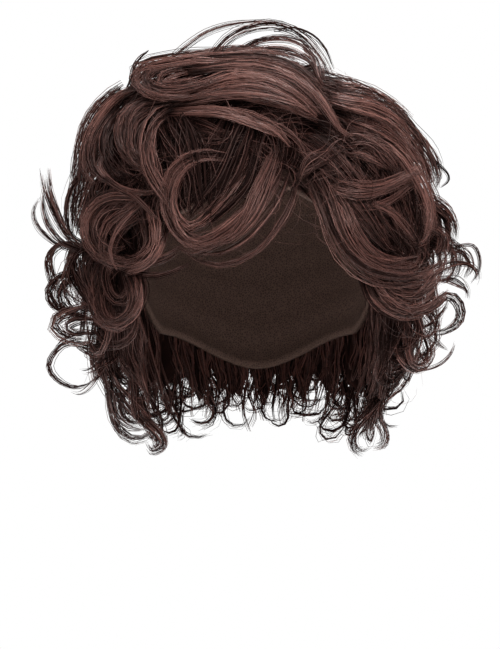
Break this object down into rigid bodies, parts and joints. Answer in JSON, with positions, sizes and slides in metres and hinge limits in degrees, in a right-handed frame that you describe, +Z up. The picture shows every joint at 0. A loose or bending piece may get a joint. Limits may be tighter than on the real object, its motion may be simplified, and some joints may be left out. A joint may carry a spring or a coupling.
{
  "type": "curly wig",
  "caption": "Short dark auburn wig with a full, tousled fringe, loose ring curls round the sides, back and nape, and a thin stretch cap that fits over a head.",
  "frame": {"origin": "inside of the cap at the crown, where the top of the head bears", "axes": "+Z up, the wearer faces -Y, +X is to the right of someone who looks at the face"},
  "size_m": [0.2734, 0.2579, 0.2618],
  "materials": {
    "hair": "satin",
    "under_hair": "satin",
    "cap_net": "matte"
  },
  "bodies": {
    "root": {"wig_cap": "cap_net", "crown_hair": "under_hair", "right_side_hair": "under_hair", "back_hair": "under_hair", "left_side_hair": "under_hair", "fringe_wisp": "hair", "fringe_loop": "hair", "temple_wisp": "hair", "top_swoop": "hair", "crown_arc": "hair", "second_swoop": "hair", "top_roll": "hair", "fringe_curl": "hair", "left_high_curl": "hair", "left_rim_curl": "hair", "left_ring_curl": "hair", "left_puff": "hair", "left_flick": "hair", "left_outer_curl": "hair", "left_low_curl": "hair", "left_open_ring": "hair", "left_ear_lock": "hair", "left_nape_lock": "hair", "left_nape_ring": "hair", "right_swoop": "hair", "right_loop": "hair", "face_lock": "hair", "right_puff": "hair", "right_rim_curl": "hair", "right_outer_curl": "hair", "right_flick": "hair", "right_low_ring": "hair", "right_open_ring": "hair", "right_tail": "hair", "right_ear_lock": "hair", "right_nape_lock": "hair", "right_nape_tail": "hair", "crown_curl_1": "hair", "crown_curl_2": "hair", "crown_curl_3": "hair", "back_high_curl_1": "hair", "back_high_curl_2": "hair", "back_high_curl_3": "hair", "back_high_curl_4": "hair", "back_mid_curl_1": "hair", "back_mid_curl_2": "hair", "back_mid_curl_3": "hair", "back_mid_curl_4": "hair", "back_low_curl_1": "hair", "back_low_curl_2": "hair", "back_low_curl_3": "hair", "right_side_curl_1": "hair", "right_side_curl_2": "hair", "right_ear_curl_1": "hair", "right_ear_curl_2": "hair", "left_side_curl_1": "hair", "left_side_curl_2": "hair", "left_ear_curl_1": "hair", "left_ear_curl_2": "hair"}
  },
  "joints": []
}
